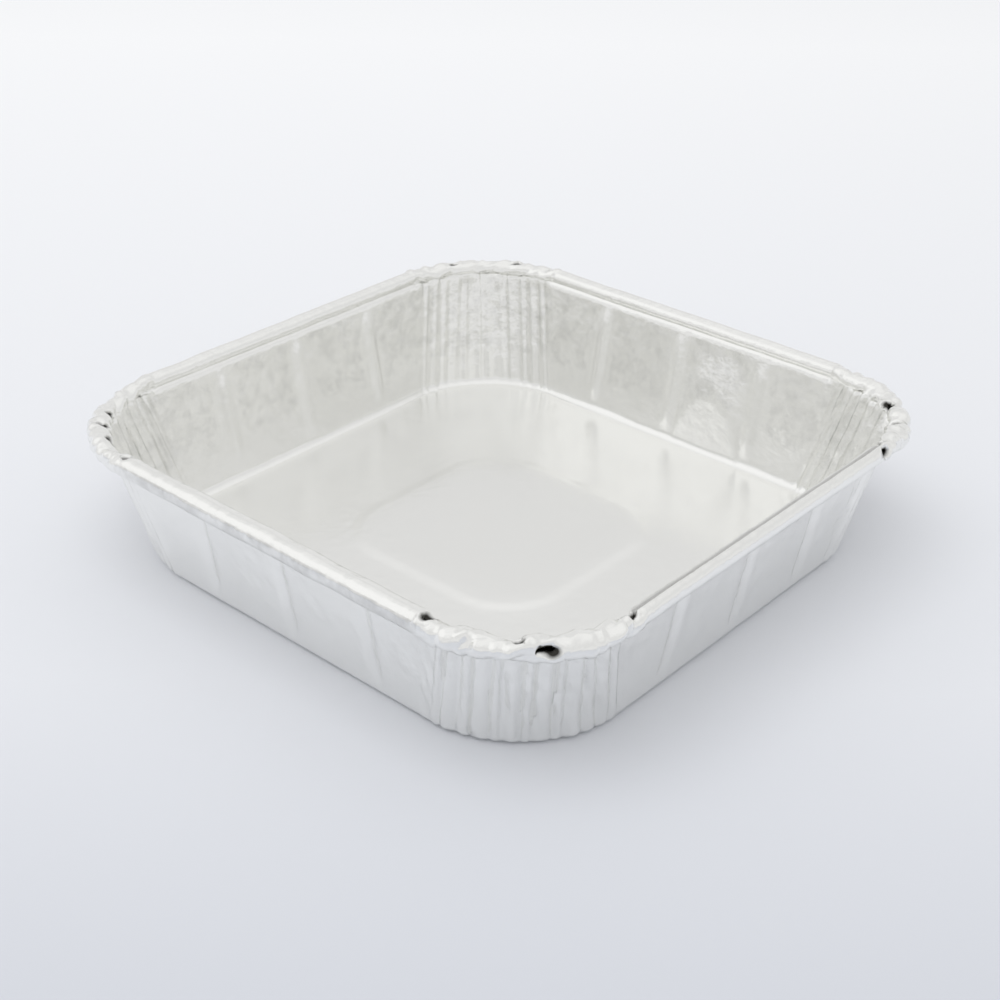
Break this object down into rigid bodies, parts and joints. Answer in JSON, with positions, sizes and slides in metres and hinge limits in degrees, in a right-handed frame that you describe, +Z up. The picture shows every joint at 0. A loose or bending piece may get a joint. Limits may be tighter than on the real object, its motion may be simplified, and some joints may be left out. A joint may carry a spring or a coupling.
{
  "type": "foil food container",
  "caption": "Square pan pressed from one sheet of aluminium foil, with leaning ribbed walls, pleated round corners, a rolled rim and a raised floor panel; open on top.",
  "frame": {"origin": "centre of the pan, on the surface that it stands on", "axes": "+Z up, out of the open top; +X and +Y square to two of the straight sides"},
  "size_m": [0.2052, 0.2052, 0.0455],
  "materials": {
    "foil": "bright rolled foil, softly crumpled"
  },
  "bodies": {
    "root": {"foil_tray": "foil"}
  },
  "joints": []
}
